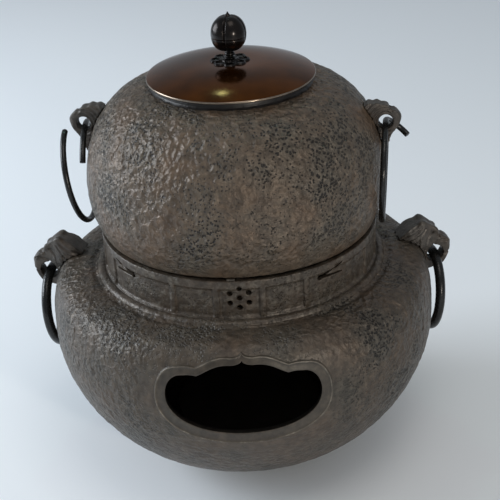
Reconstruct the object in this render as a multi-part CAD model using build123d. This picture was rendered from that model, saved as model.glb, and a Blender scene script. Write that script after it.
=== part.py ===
"""Cast-iron tea kettle (kama) with a bronze lid, sitting on its cast-iron brazier (furo).

Millimetres, +Z up, origin on the floor under the middle. The fire window faces -Y and the lugs stand at the
sides, near +X and -X. Each separate piece is written as a STEP file of its own.
"""

import os
from math import cos, degrees, radians, sin

from build123d import *

# Cutting allowance: how far a cutting shape runs past what it cuts
cut_overrun = 2.0

# Brazier bowl: one casting on three feet, with a fire window in front
foot_height = 19.0
bowl_radius = 169.0
bowl_depth = 113.5  # underside of the bowl up to its widest ring
shoulder_rise = 52.1  # widest ring up to the bead under the neck
base_radius = 78.0  # flat underside
bowl_wall = 4.5
bowl_fullness_share = 0.47  # 0.55 is an ellipse, more is squarer
shoulder_fullness_share = 0.85
shoulder_crest = 2.0  # top of the shoulder above the bead's middle

# Brazier neck: upright band with a lip, recessed panels and vents
neck_radius = 119.2
neck_height = 37.8
neck_wall = 5.4
lip_height = 7.0
panel_recess = 1.4
panel_rib = 4.0
quarter_panel_angles = (18.0, 18.0, 36.0, 18.0)  # degrees, and the four quarters are alike
bead_radius = 4.6
bead_stand_off = 3.0

# Nubs on the rim that carry the kettle and let the draught out
nub_length = 6.5
nub_width = 4.0
nub_height = 1.8
nub_count = 3
nub_turn = -3.0  # degrees from the front

# Vents through the neck: seven-hole blossoms, and pine needles in pairs
vent_count = 4
vent_rise = 22.0  # blossom centre above the bead
blossom_hole_radius = 2.3
blossom_ring_radius = 8.7
blossom_petals = 6
needle_rise = 26.5
needle_length = 24.0
needle_root_width = 2.8
needle_tip_width = 1.2
needle_eye_radius = 2.6
needle_spread_angle = 11.0  # degrees between each needle and the line of its pair
needle_droop_angle = -5.0  # degrees, so the pairs rise
needle_pair_turns = ((33.5, 1), (-47.5, -1), (213.5, 1), (132.5, -1))  # degrees from the front, and which way

# Fire window, drawn on the front view, with a smooth raised border
window_half_width = 62.0
window_sill_drop = 21.3  # sill below the bowl's widest ring
window_top_drop = 8.9  # cusp below the bead under the neck
border_side = 9.0
border_top = 5.3
border_bottom = 11.5
border_raise = 1.6

# Outlines of half the window and half its border, as shares of their half width and height: the cusp, the
# crest of the arch beside it, the top of the side lobe and the height where the outline is widest
window_shares = (
    ((0.0, 1.0), (0.05, 0.967), (0.15, 0.953)),
    ((0.15, 0.953), (0.36, 0.965), (0.46, 0.87), (0.58, 0.82)),
    ((0.58, 0.82), (0.67, 0.826), (0.75, 0.815)),
    0.5,
)
border_shares = (
    ((0.0, 1.0), (0.045, 0.975), (0.13, 0.966)),
    ((0.13, 0.966), (0.32, 0.985), (0.42, 0.91), (0.52, 0.883)),
    ((0.52, 0.883), (0.62, 0.889), (0.72, 0.876)),
    0.51,
)
lobe_fullness_share = 0.58
sill_fullness_share = 0.62

# Brazier feet, with pegs through the floor of the bowl
foot_count = 3
foot_ring_radius = 57.0
foot_top_radius = 14.0
foot_toe_radius = 8.0
foot_waist_radius = 9.5
foot_peg_radius = 5.0

# Floor tile of fired clay
tile_radius = 66.0
tile_thickness = 8.0

# Brazier lugs: beast heads with a bore for a closed ring
brazier_ring_radius = 35.5
brazier_wire_radius = 4.4
brazier_ring_stand_off = 7.0  # the ring's hinge outside the bowl's widest ring
brazier_ring_lean_angle = 5.0  # degrees that the hanging ring leans in toward the bowl
brazier_hinge_drop = 19.6  # below the bead
lug_set_back_angle = 8.0  # degrees of both lugs behind the sides of the bowl
brazier_hole_radius = 7.9
brazier_hole_lift = 2.0  # bore above the wire that it carries
head_length = 50.0
head_height = 47.5
head_half_width = 12.0
head_reach = 15.0  # snout beyond the ring's hinge
head_chin_drop = 13.0  # chin below the ring's hinge
head_peg_radius = 6.0
head_peg_inset = 22.0  # peg inside the bowl's widest ring
head_side_shares = (
    (0.0, 0.6), (0.05, 0.75), (0.15, 0.86), (0.3, 0.95), (0.474, 1.0), (0.586, 0.945),
    (0.7, 0.83), (0.789, 0.7), (0.91, 0.62), (1.0, 0.505), (0.98, 0.36), (0.92, 0.21),
    (0.84, 0.085), (0.7, 0.02), (0.54, 0.0), (0.25, 0.08), (0.04, 0.36),
)
head_plan_shares = ((0.0, 0.8), (0.216, 1.0), (0.44, 0.94), (0.586, 0.63), (0.866, 0.6), (1.0, 0.0))

# Kettle: one casting that overhangs the rim, with a collar round its mouth
kettle_turn = -6.0  # degrees that the kettle stands turned on its brazier
kettle_overhang = 8.3  # widest ring beyond the outside of the brazier's neck
kettle_skirt_rise = 38.8  # ledge up to the widest ring
kettle_shoulder_rise = 83.2
kettle_ledge_inset = 2.2  # edge of the ledge inside the outside of the neck
kettle_rim_gap = 5.3  # between the kettle's lower part and the inside of the brazier's neck
kettle_lower_depth = 74.0
kettle_bottom_radius = 52.0
kettle_wall = 4.0
kettle_shoulder_fullness_share = 0.61
kettle_lower_fullness_share = 0.7
mouth_radius = 60.0
collar_wall = 5.5
collar_height = 5.1
crown_margin = 2.0  # from the mouth to where the shoulder would run level

# Kettle lugs: curled leaves with a bore for an open ring
kettle_ring_radius = 42.5
kettle_wire_radius = 2.6
kettle_ring_inset = 0.5  # wire's top inside the kettle's widest ring
kettle_hinge_rise = 45.0  # above the widest ring
kettle_hole_radius = 6.2
kettle_hole_lift = 2.7
leaf_length = 36.0
leaf_height = 41.0
leaf_half_width = 8.0
leaf_reach = 13.0
leaf_chin_drop = 22.5
leaf_peg_radius = 4.0
leaf_side_shares = (
    (0.0, 0.5), (0.04, 0.92), (0.45, 1.0), (0.72, 0.92), (0.98, 0.7), (0.92, 0.5),
    (0.78, 0.34), (0.62, 0.02), (0.3, 0.06),
)
leaf_plan_shares = ((0.0, 1.0), (0.4, 0.85), (0.7, 0.62), (0.92, 0.55), (1.0, 0.0))

# Roots of the lugs, and how round every lug is in front view, as shares of its half width and height
root_depth = 2.5  # how far a lug's peg is cast into the wall that carries it
lug_round_shares = (1.15, 0.62)

# Kettle rings: open rings, each bent outward at one end; all angles in degrees, from the top of the ring
left_ring_angles = (-58.0, 153.0)
left_bend_angle = 195.0
left_tilt_angle = 11.5
left_yaw_angle = 6.0
left_lean_angle = 1.0
right_ring_angles = (-7.0, 320.0)
right_bend_radius = 16.0
right_bend_angle = 120.0
right_tilt_angle = 50.0
right_yaw_angle = -1.8
right_lean_angle = -1.5

# Singing plates: thin iron plates stuck on the kettle's floor
plate_count = 3
plate_length = 30.0
plate_width = 16.0
plate_thickness = 2.0
plate_ring_radius = 27.0

# Bronze lid, domed, with a ring under it that locates it in the mouth
lid_overhang = 4.5  # beyond the outside of the collar
lid_edge = 1.8
lid_rise = 10.4
lid_flat_radius = 18.5  # level top that carries the knob's seat
lid_thickness = 2.2
lid_ring_gap = 0.8
lid_ring_wall = 1.6
lid_ring_depth = 5.0

# Knob: a bud on a stem that is riveted through a rosette, the lid and a washer
rosette_radius = 16.5
rosette_petals = 8
rosette_petal_radius = 5.2
rosette_thickness = 1.5
hub_radius = 7.5
hub_height = 0.9
stem_radius = 2.2
stem_neck_radius = 3.0
stem_bead_radius = 4.2
stem_bead_height = 3.4
stem_neck_height = 7.1
bud_radius = 14.9
bud_lobes = 4
bud_lobe_offset = 2.2
bud_turn = -60.0  # degrees
bud_foot_radius = 5.5
bud_height = 28.2
bud_widest_share = 0.46
bud_fullness_share = 0.58
bud_line_share = 0.38
bud_line_depth = 0.5
bud_tip_height = 3.2
bud_tip_radius = 4.2
bud_bore_depth = 14.0
washer_radius = 9.0
washer_thickness = 1.2
rivet_radius = 3.6
rivet_thickness = 1.4

# Places that follow from the sizes above
floor_z = foot_height + bowl_wall
belly_z = foot_height + bowl_depth
bead_z = belly_z + shoulder_rise
rim_z = bead_z + neck_height
bead_ring_radius = neck_radius + bead_stand_off
neck_inner_radius = neck_radius - neck_wall
sill_z = belly_z - window_sill_drop
window_top_z = bead_z - window_top_drop
brazier_hinge = (bowl_radius + brazier_ring_stand_off, bead_z - brazier_hinge_drop)
ledge_z = rim_z + nub_height
kettle_belly_z = ledge_z + kettle_skirt_rise
kettle_radius = neck_radius + kettle_overhang
kettle_ledge_radius = neck_radius - kettle_ledge_inset
crown_radius = mouth_radius + crown_margin
collar_radius = mouth_radius + collar_wall
lid_radius = collar_radius + lid_overhang
crown_z = kettle_belly_z + kettle_shoulder_rise
collar_z = crown_z + collar_height
kettle_lower_radius = neck_inner_radius - kettle_rim_gap
kettle_bottom_z = ledge_z - kettle_lower_depth
kettle_hinge = (kettle_radius - kettle_ring_inset, kettle_belly_z + kettle_hinge_rise)
lid_top_z = collar_z + lid_edge + lid_rise
rosette_z = lid_top_z + rosette_thickness
hub_z = rosette_z + hub_height
bud_z = hub_z + stem_neck_height

# Cylinders and cones stand on the origin
standing = (Align.CENTER, Align.CENTER, Align.MIN)
front_angle = -90.0  # of -Y, seen from above
full_turn = 360.0


def swell(wide_r, wide_z, end_r, end_z, fullness):
    """Quarter of a bulge in section: upright at its widest ring, level at its end."""
    upright = (wide_r, wide_z + (end_z - wide_z) * fullness)
    level = (end_r + (wide_r - end_r) * fullness, end_z)
    return Bezier((wide_r, wide_z), upright, level, (end_r, end_z))


def chain(*points):
    """Straight edges that join the points of an outline."""
    return [Line(a, b) for a, b in zip(points, points[1:])]


def turned(edges):
    """Solid of revolution about the Z axis from a closed outline in radius and height."""
    return revolve(Plane.XZ * make_face(Curve() + edges), Axis.Z)


def disc(radius, low, high, inner=0):
    """Round plate or ring on the Z axis between two heights."""
    return turned(chain((inner, low), (radius, low), (radius, high), (inner, high), (inner, low)))


def around(shape, turn):
    """The shape turned about the Z axis, in degrees."""
    return Rot(0, 0, turn) * shape


def facing(turn, height):
    """Drawing plane on the Z axis that looks outward, turned from the front, with its X to the right."""
    out = (sin(radians(turn)), -cos(radians(turn)), 0)
    right = (cos(radians(turn)), sin(radians(turn)), 0)
    return Plane(origin=(0, 0, height), x_dir=right, z_dir=out)


def bowl_form(grow):
    """The bowl's outer form without its neck, grown outward, as one filled solid."""
    base = (base_radius, foot_height - grow)
    top = (bead_ring_radius, bead_z + shoulder_crest + grow)
    return turned(
        chain((0, top[1]), (0, base[1]), base)
        + [
            swell(bowl_radius + grow, belly_z, *base, bowl_fullness_share),
            swell(bowl_radius + grow, belly_z, *top, shoulder_fullness_share),
            Line(top, (0, top[1])),
        ]
    )


def bowl_cavity():
    """Space inside the bowl and its neck, open at the top."""
    wide = bowl_radius - bowl_wall
    base = (base_radius, floor_z)
    throat = (neck_inner_radius, bead_z + shoulder_crest - bowl_wall)
    top = rim_z + cut_overrun
    return turned(
        chain((0, top), (0, floor_z), base)
        + [
            swell(wide, belly_z, *base, bowl_fullness_share),
            swell(wide, belly_z, *throat, shoulder_fullness_share),
        ]
        + chain(throat, (neck_inner_radius, top), (0, top))
    )


def window_outline(half_width, low, high, shares):
    """Fire window seen from the front: a cusp over a low arch, with a round lobe on each side."""
    cusp, crest, lobe, widest = shares

    def places(points):
        return [(across * half_width, low + up * (high - low)) for across, up in points]

    side_z = low + widest * (high - low)
    half = [
        ThreePointArc(*places(cusp)),
        Bezier(*places(crest)),
        ThreePointArc(*places(lobe)),
        swell(half_width, side_z, *places(lobe)[-1], lobe_fullness_share),
        swell(half_width, side_z, 0, low, sill_fullness_share),
    ]
    other = [edge.mirror(Plane.YZ) for edge in half]
    return make_face(Curve() + half + other)


def needle_pair(way):
    """Two tapered slots that open from one round eye, drawn on the neck's face."""
    slots = Circle(needle_eye_radius)
    needle = make_face(
        Polyline(
            (0, -needle_root_width / 2),
            (needle_length, -needle_tip_width / 2),
            (needle_length, needle_tip_width / 2),
            (0, needle_root_width / 2),
            close=True,
        )
    )
    for side in (-1, 1):
        slots += Rot(0, 0, side * needle_spread_angle) * needle
    pair = Rot(0, 0, -needle_droop_angle) * slots
    return pair if way > 0 else pair.mirror(Plane.YZ)


def neck_panels():
    """Shallow recesses in the band between the lip and the bead."""
    low = bead_z + bead_radius
    high = rim_z - lip_height
    inner = neck_radius - panel_recess
    outer = neck_radius + cut_overrun
    corners = ((inner, low), (outer, low), (outer, high), (inner, high), (inner, low))
    section = make_face(Curve() + chain(*corners))
    rib_arc = degrees(panel_rib / neck_radius)
    panels = []
    start = front_angle - quarter_panel_angles[0] / 2
    for arc in 4 * quarter_panel_angles:
        panel = revolve(Plane.XZ * section, Axis.Z, arc - rib_arc)
        panels.append(around(panel, start + rib_arc / 2))
        start += arc
    return panels


def neck_vents():
    """Vents through the neck: a blossom in each quarter, and pairs of pine needles between them."""
    reach = neck_radius + cut_overrun
    blossom = Circle(blossom_hole_radius)
    for petal in range(blossom_petals):
        spot = Rot(0, 0, full_turn * (petal + 0.5) / blossom_petals) * Pos(blossom_ring_radius, 0)
        blossom += spot * Circle(blossom_hole_radius)
    quarters = [full_turn * index / vent_count for index in range(vent_count)]
    vents = [extrude(facing(turn, bead_z + vent_rise) * blossom, reach) for turn in quarters]
    for turn, way in needle_pair_turns:
        vents.append(extrude(facing(turn, bead_z + needle_rise) * needle_pair(way), reach))
    return vents


def foot_pegs():
    """Round pegs on top of the feet, through the floor of the bowl."""
    peg = Pos(0, -foot_ring_radius, 0) * disc(foot_peg_radius, foot_height, floor_z)
    return [around(peg, full_turn * index / foot_count) for index in range(foot_count)]


def head_peg():
    """Root of a brazier lug, cast into the wall of the bowl, toward +X."""
    peg = Cylinder(head_peg_radius, 2 * shoulder_rise, align=standing)
    bar = Pos(bowl_radius - head_peg_inset, 0, belly_z) * peg
    return bar & bowl_form(0) - bowl_form(-root_depth)


def leaf_peg():
    """Root of a kettle lug, cast into the wall of the kettle, toward +X."""
    peg = Cylinder(leaf_peg_radius, kettle_radius, align=standing)
    bar = Pos(0, 0, kettle_hinge[1]) * Rot(0, 90, 0) * peg
    return bar & kettle_form(0) - kettle_form(root_depth)


def brazier_form():
    """The brazier's whole outer form: bowl, neck and the bead between them, as one filled solid."""
    bead = Pos(0, 0, bead_z) * Torus(bead_ring_radius, bead_radius)
    return bowl_form(0) + disc(neck_radius, belly_z, rim_z) + bead


def make_brazier_body():
    body = brazier_form()
    reach = bowl_radius + cut_overrun
    opening = window_outline(window_half_width, sill_z, window_top_z, window_shares)
    border = window_outline(
        window_half_width + border_side, sill_z - border_bottom, window_top_z + border_top, border_shares
    )
    body += extrude(Plane.XZ * border, reach) & bowl_form(border_raise)
    body -= bowl_cavity()
    body -= extrude(Plane.XZ * opening, reach)
    for cut in neck_panels() + neck_vents() + foot_pegs():
        body -= cut
    nub = Pos(neck_radius - neck_wall / 2, 0, rim_z + nub_height / 2) * Box(nub_width, nub_length, nub_height)
    for index in range(nub_count):
        body += around(nub, front_angle + nub_turn + full_turn * index / nub_count)
    for side in (lug_set_back_angle, 180 - lug_set_back_angle):
        body -= around(head_peg(), side)
    return body


def make_feet():
    side = Spline(
        [(foot_toe_radius, 0), (foot_waist_radius, foot_height / 2), (foot_top_radius, foot_height)],
        tangents=((0.3, 1), (1, 0.5)),
    )
    foot = Pos(0, -foot_ring_radius, 0) * turned(
        chain((0, foot_height), (0, 0), (foot_toe_radius, 0))
        + [side, Line((foot_top_radius, foot_height), (0, foot_height))]
    )
    return [around(foot, full_turn * index / foot_count) + peg for index, peg in enumerate(foot_pegs())]


def lug_block(side_shares, plan_shares, length, height, half_width, tip, chin):
    """Lug toward +X: its side view, cut to its plan and rounded in front view, from shares of its box."""
    root = tip - length
    side = [(root + along * length, chin + up * height) for along, up in side_shares]
    plan = [(root + along * length, wide * half_width) for along, wide in plan_shares]
    side_view = make_face(Spline(side, periodic=True))
    edge = Spline(plan, tangents=((1, 0), (0, -1)))
    plan_view = make_face(Curve() + [edge, edge.mirror(Plane.XZ), Line(plan[0], (root, -plan[0][1]))])
    wide_share, tall_share = lug_round_shares
    front_view = Plane.YZ * Pos(0, chin + height / 2) * Ellipse(half_width * wide_share, height * tall_share)
    block = extrude(Plane.XZ * side_view, half_width, both=True)
    block &= extrude(Pos(0, 0, chin - height) * plan_view, 3 * height)
    return block & extrude(front_view, 2 * tip)


def make_brazier_lug():
    reach, hinge_z = brazier_hinge
    head = lug_block(
        head_side_shares, head_plan_shares, head_length, head_height, head_half_width,
        reach + head_reach, hinge_z - head_chin_drop,
    )
    through = Cylinder(brazier_hole_radius, 3 * head_half_width)
    bore = Pos(reach, 0, hinge_z + brazier_hole_lift) * Rot(90, 0, 0) * through
    return head - brazier_form() - bore + head_peg()


def ring_arc(radius, wire, start, end):
    """Stretch of a wire ring that hangs from the origin in the YZ plane, by angles from its top."""
    axis = Axis((0, 0, -radius), (1, 0, 0))
    arc = revolve(Plane.XZ * Circle(wire), axis, end - start)
    return Pos(0, 0, -radius) * Rot(start, 0, 0) * Pos(0, 0, radius) * arc


def bent_end(ring_radius, wire, at, bend_radius, sweep, tilt):
    """End of a ring that leaves its plane outward: a tangent arc from an angle on the ring."""
    start, end = sorted((0, sweep))
    arc = Rot(0, -tilt, 0) * ring_arc(bend_radius, wire, start, end)
    return Pos(0, 0, -ring_radius) * Rot(at, 0, 0) * Pos(0, 0, ring_radius) * arc


def make_brazier_ring():
    ring = ring_arc(brazier_ring_radius, brazier_wire_radius, 0, full_turn)
    return Pos(brazier_hinge[0], 0, brazier_hinge[1]) * Rot(0, brazier_ring_lean_angle, 0) * ring


def kettle_form(inset):
    """The kettle's form drawn in by a wall, as one filled solid, from its mouth down to its flat bottom."""
    belly = (kettle_radius - inset, kettle_belly_z)
    crown = (crown_radius, crown_z - inset)
    ledge = (kettle_ledge_radius - inset, ledge_z + inset)
    lower = (kettle_lower_radius - inset, ledge_z + inset)
    base = (kettle_bottom_radius, kettle_bottom_z + inset)
    return turned(
        chain((0, crown[1]), crown)
        + [
            swell(*belly, *crown, kettle_shoulder_fullness_share),
            TangentArc(belly, ledge, tangent=(0, -1)),
            Line(ledge, lower),
            swell(*lower, *base, kettle_lower_fullness_share),
        ]
        + chain(base, (0, base[1]), (0, crown[1]))
    )


def make_kettle_body():
    collar = disc(collar_radius, crown_z - kettle_wall, collar_z)
    mouth = disc(mouth_radius, crown_z - kettle_wall - cut_overrun, collar_z + cut_overrun)
    body = kettle_form(0) + collar - kettle_form(kettle_wall) - mouth
    for side in (0, 180):
        body -= around(leaf_peg(), side)
    return around(body, kettle_turn)


def make_kettle_lug(side):
    reach, hinge_z = kettle_hinge
    leaf = lug_block(
        leaf_side_shares, leaf_plan_shares, leaf_length, leaf_height, leaf_half_width,
        reach + leaf_reach, hinge_z - leaf_chin_drop,
    )
    through = Cylinder(kettle_hole_radius, 3 * leaf_half_width)
    bore = Pos(reach, 0, hinge_z + kettle_hole_lift) * Rot(90, 0, 0) * through
    return around(leaf - kettle_form(0) - bore + leaf_peg(), kettle_turn + side)


def make_kettle_ring(side, angles, bend, hang):
    at, bend_radius, sweep, tilt = bend
    yaw, lean = hang
    ring = ring_arc(kettle_ring_radius, kettle_wire_radius, *angles)
    ring += bent_end(kettle_ring_radius, kettle_wire_radius, at, bend_radius, sweep, tilt)
    hung = Pos(kettle_hinge[0], 0, kettle_hinge[1]) * Rot(0, 0, yaw) * Rot(0, -lean, 0) * ring
    return around(hung, kettle_turn + side)


def make_singing_plates():
    low = kettle_bottom_z + kettle_wall
    flat = Box(plate_width, plate_length, plate_thickness, align=standing)
    plate = Pos(plate_ring_radius, 0, low) * flat
    return Compound(children=[around(plate, full_turn * index / plate_count) for index in range(plate_count)])


def lid_dome(drop):
    """Arc of the lid's dome in section, from its level top to its edge, lowered by a drop."""
    top = lid_top_z - drop
    edge = collar_z + lid_edge - drop
    return TangentArc((lid_flat_radius, top), (lid_radius, edge), tangent=(1, 0))


def make_lid_plate():
    below_z = collar_z - cut_overrun
    flat = (lid_flat_radius, lid_top_z)
    hollow_flat = (lid_flat_radius, lid_top_z - lid_thickness)
    edge = (lid_radius, collar_z + lid_edge)
    hollow_edge = (lid_radius, collar_z + lid_edge - lid_thickness)
    plate = turned(chain(edge, (lid_radius, collar_z), (0, collar_z), (0, lid_top_z), flat) + [lid_dome(0)])
    hollow = turned(
        chain(hollow_edge, (lid_radius, below_z), (0, below_z), (0, hollow_flat[1]), hollow_flat)
        + [lid_dome(lid_thickness)]
    )
    seat_inner = mouth_radius - lid_ring_gap - lid_ring_wall
    hollow &= disc(seat_inner, below_z, lid_top_z)
    return plate - hollow - disc(stem_radius, collar_z, lid_top_z)


def make_lid_inner_ring():
    outer = mouth_radius - lid_ring_gap
    return disc(outer, collar_z - lid_ring_depth, collar_z, outer - lid_ring_wall)


def make_knob_seat():
    seat = disc(hub_radius, lid_top_z, hub_z)
    round_petal = disc(rosette_petal_radius, lid_top_z, rosette_z)
    petal = Pos(rosette_radius - rosette_petal_radius, 0, 0) * round_petal
    for index in range(rosette_petals):
        seat += around(petal, full_turn * index / rosette_petals)
    return seat - disc(stem_radius, lid_top_z, hub_z)


def make_knob_stem():
    low = lid_top_z - lid_thickness - washer_thickness - rivet_thickness
    middle = hub_z + stem_neck_height / 2
    bead_low = (stem_neck_radius, middle - stem_bead_height / 2)
    bead_high = (stem_neck_radius, middle + stem_bead_height / 2)
    stem = disc(stem_radius, low, bud_z + bud_bore_depth)
    stem += disc(rivet_radius, low, low + rivet_thickness)
    collar = turned(
        chain((0, hub_z), (stem_neck_radius, hub_z), bead_low)
        + [ThreePointArc(bead_low, (stem_bead_radius, middle), bead_high)]
        + chain(bead_high, (stem_neck_radius, bud_z), (0, bud_z), (0, hub_z))
    )
    return stem + collar


def make_knob_bud():
    lobe_radius = bud_radius - bud_lobe_offset
    lobe_foot = bud_foot_radius - bud_lobe_offset
    widest_z = bud_z + bud_height * bud_widest_share
    top_z = bud_z + bud_height
    lobe = Pos(bud_lobe_offset, 0, 0) * turned(
        [
            Line((0, bud_z), (lobe_foot, bud_z)),
            swell(lobe_radius, widest_z, lobe_foot, bud_z, bud_fullness_share),
            swell(lobe_radius, widest_z, 0, top_z, bud_fullness_share),
            Line((0, top_z), (0, bud_z)),
        ]
    )
    bud = around(lobe, 0)
    for index in range(1, bud_lobes):
        bud += around(lobe, full_turn * index / bud_lobes)
    line_z = bud_z + bud_height * bud_line_share
    sunk = bud_tip_radius / 2
    bud += Pos(0, 0, top_z - sunk) * Cone(bud_tip_radius, 0, bud_tip_height + sunk, align=standing)
    bud -= disc(bud_radius + cut_overrun, line_z, line_z + bud_line_depth, bud_radius - 2 * bud_line_depth)
    return around(bud - disc(stem_radius, bud_z, bud_z + bud_bore_depth), bud_turn)


def make_knob_washer():
    top = lid_top_z - lid_thickness
    return disc(washer_radius, top - washer_thickness, top, stem_radius)


def build():
    feet = make_feet()
    head = make_brazier_lug()
    ring = make_brazier_ring()
    left_bend = (left_ring_angles[1], kettle_ring_radius, left_bend_angle, left_tilt_angle)
    right_bend = (right_ring_angles[0], right_bend_radius, -right_bend_angle, right_tilt_angle)
    left_hang = (left_yaw_angle, left_lean_angle)
    right_hang = (right_yaw_angle, right_lean_angle)
    return {
        "brazier_body": make_brazier_body(),
        "brazier_foot_front": feet[0],
        "brazier_foot_rear_right": feet[1],
        "brazier_foot_rear_left": feet[2],
        "brazier_lug_right": around(head, lug_set_back_angle),
        "brazier_lug_left": around(head, 180 - lug_set_back_angle),
        "brazier_ring_right": around(ring, lug_set_back_angle),
        "brazier_ring_left": around(ring, 180 - lug_set_back_angle),
        "floor_tile": disc(tile_radius, floor_z, floor_z + tile_thickness),
        "kettle_body": make_kettle_body(),
        "kettle_lug_right": make_kettle_lug(0),
        "kettle_lug_left": make_kettle_lug(180),
        "kettle_ring_right": make_kettle_ring(0, right_ring_angles, right_bend, right_hang),
        "kettle_ring_left": make_kettle_ring(180, left_ring_angles, left_bend, left_hang),
        "singing_plates": make_singing_plates(),
        "lid_plate": make_lid_plate(),
        "lid_inner_ring": make_lid_inner_ring(),
        "knob_seat": make_knob_seat(),
        "knob_stem": make_knob_stem(),
        "knob_bud": make_knob_bud(),
        "knob_washer": make_knob_washer(),
    }


os.makedirs("parts", exist_ok=True)
for name, shape in build().items():
    export_step(shape, f"parts/{name}.step")
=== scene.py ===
"""Iron tea kettle with a bronze lid on its iron brazier: the pieces that are seen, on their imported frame."""
from math import asin, cos, pi, radians, sin

import bmesh
import bpy
import numpy as np
from mathutils import Matrix, Vector, noise


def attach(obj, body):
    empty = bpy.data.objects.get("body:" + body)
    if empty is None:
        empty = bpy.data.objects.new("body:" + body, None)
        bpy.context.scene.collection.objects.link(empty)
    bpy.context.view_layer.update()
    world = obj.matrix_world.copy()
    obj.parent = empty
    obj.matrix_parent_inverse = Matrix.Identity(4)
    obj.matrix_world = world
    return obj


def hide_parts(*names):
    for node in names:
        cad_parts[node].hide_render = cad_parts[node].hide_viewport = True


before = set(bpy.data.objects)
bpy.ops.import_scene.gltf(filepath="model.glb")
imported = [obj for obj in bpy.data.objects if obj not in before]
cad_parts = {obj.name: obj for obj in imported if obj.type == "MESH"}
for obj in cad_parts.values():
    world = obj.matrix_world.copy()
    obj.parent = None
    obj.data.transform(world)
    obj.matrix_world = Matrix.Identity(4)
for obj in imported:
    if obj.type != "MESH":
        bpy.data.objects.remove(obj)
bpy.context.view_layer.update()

scene = bpy.context.scene

# Camera: it stands a metre in front of the set and looks down on it at some 28 degrees, as one who kneels
# before the hearth does. Its roll of under three degrees is the photograph's own.
camera_place = (0.02457, -0.93835, 0.68023)
camera_ahead = Vector((-0.01538, 0.88519, -0.4649)).normalized()
camera_right = Vector((0.99892, -0.00685, -0.0461)).normalized()
camera_up = camera_right.cross(camera_ahead).normalized()
camera = bpy.data.objects.new("camera", bpy.data.cameras.new("camera"))
camera.data.sensor_width = 36
camera.data.lens = 86.08
camera_axes = Matrix((camera_up.cross(-camera_ahead), camera_up, -camera_ahead)).transposed()
camera.matrix_world = Matrix.Translation(camera_place) @ camera_axes.to_4x4()
scene.collection.objects.link(camera)
scene.camera = camera

# Brazier bowl: sand-cast grey iron, 4.5 mm thick, round in plan, widest two thirds of the way up. The mould
# was dabbed by hand, so the skin has leathery lumps and pits, which fade to smooth iron round the fire window.
MM = 0.001
bowl_widest = (169.0, 132.5)
bowl_base = (78.0, 19.0)
bowl_top = (122.2, 186.6)
bowl_fullness = 0.47
shoulder_fullness = 0.85
bowl_inner_widest = (164.5, 132.5)
bowl_floor = (78.0, 23.5)
bowl_throat = (113.8, 182.1)
flat_rings = (60.0, 76.0)
bowl_spacing = 1.9
bowl_columns = 560
bowl_lump_depth, inside_roughness = 1.2, 0.4
large_lump, small_lump, rough_patch = 8.5, 4.2, 45
plain_round_window, plain_under_window = (2, 26), (60, 120)
crease_radius, crease_reach, crease_depth = 129.5, 3.2, 1.6
# Half the width, the lowest and the highest place; then shares of both, from the cusp down to the widest place.
window_size, border_size = (62.0, 111.2, 175.7), (71.0, 99.7, 181.0)
window_shares = (
    ((0.0, 1.0), (0.05, 0.967), (0.15, 0.953)),
    ((0.15, 0.953), (0.36, 0.965), (0.46, 0.87), (0.58, 0.82)),
    ((0.58, 0.82), (0.67, 0.826), (0.75, 0.815)), 0.5)
border_shares = (
    ((0.0, 1.0), (0.045, 0.975), (0.13, 0.966)),
    ((0.13, 0.966), (0.32, 0.985), (0.42, 0.91), (0.52, 0.883)),
    ((0.52, 0.883), (0.62, 0.889), (0.72, 0.876)), 0.51)
lobe_fullness, sill_fullness = 0.58, 0.62


def bend(knots, count):
    """Even steps along the cubic curve with four knots."""
    t = np.linspace(0, 1, count + 1)[:, None]
    a, b, c, d = np.array(knots, float)
    return a * (1 - t) ** 3 + b * 3 * t * (1 - t) ** 2 + c * 3 * t * t * (1 - t) + d * t ** 3


def swell(widest, end, fullness):
    """Bulge in section, as radius and height: upright at its widest ring and level at its end."""
    upright = (widest[0], widest[1] + (end[1] - widest[1]) * fullness)
    level = (end[0] + (widest[0] - end[0]) * fullness, end[1])
    return bend((widest, upright, level, end), 60)


def stepped(points, count):
    """The same line in a number of even steps."""
    points = np.array(points, float)
    along = np.concatenate(([0.0], np.cumsum(np.linalg.norm(np.diff(points, axis=0), axis=1))))
    places = np.linspace(0, along[-1], count + 1)
    return np.stack([np.interp(places, along, points[:, axis]) for axis in range(points.shape[1])], axis=1)


def spaced(points, spacing):
    """The same line with its points about a spacing apart."""
    points = np.array(points, float)
    length = np.linalg.norm(np.diff(points, axis=0), axis=1).sum()
    return stepped(points, max(1, round(length / spacing)))


def joined(*lines):
    """One line from several that meet end to end."""
    return np.concatenate([np.array(lines[0], float)] + [np.array(line, float)[1:] for line in lines[1:]])


def even_turns(count):
    """Angles of a full turn in even steps."""
    return np.arange(count) * 2 * pi / count


def turned(profile, turns, push=0.0):
    """Rows of points round the Z axis from a section in radius and height, pushed out of the surface."""
    profile = np.array(profile, float)
    tangent = np.gradient(profile, axis=0)
    tangent /= np.linalg.norm(tangent, axis=1)[:, None] + 1e-9
    radius = profile[:, 0][:, None] + tangent[:, 1][:, None] * push
    height = profile[:, 1][:, None] - tangent[:, 0][:, None] * push
    turns = np.array(turns)[None, :]
    return np.stack([radius * np.cos(turns), radius * np.sin(turns), height + 0 * turns], axis=2)


def noise_over(places, size, octaves=1, shift=0.0):
    """Noise from about -1 to 1 at each place, with lumps of about a size in millimetres."""
    flat = places.reshape(-1, 3) / size + shift
    if octaves == 1:
        values = [noise.noise(Vector(place)) for place in flat]
    else:
        values = [noise.fractal(Vector(place), 1.0, 2.1, octaves) for place in flat]
    return np.array(values).reshape(places.shape[:-1])


def eased(value, start, end):
    """From 0 at start to 1 at end, with a soft start and end."""
    share = np.clip((value - start) / (end - start), 0, 1)
    return share * share * (3 - 2 * share)


def hump(distance, reach):
    """1 at the middle and 0 beyond a reach, with a soft edge."""
    share = np.clip(1 - (distance / reach) ** 2, 0, 1)
    return share * share


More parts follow.
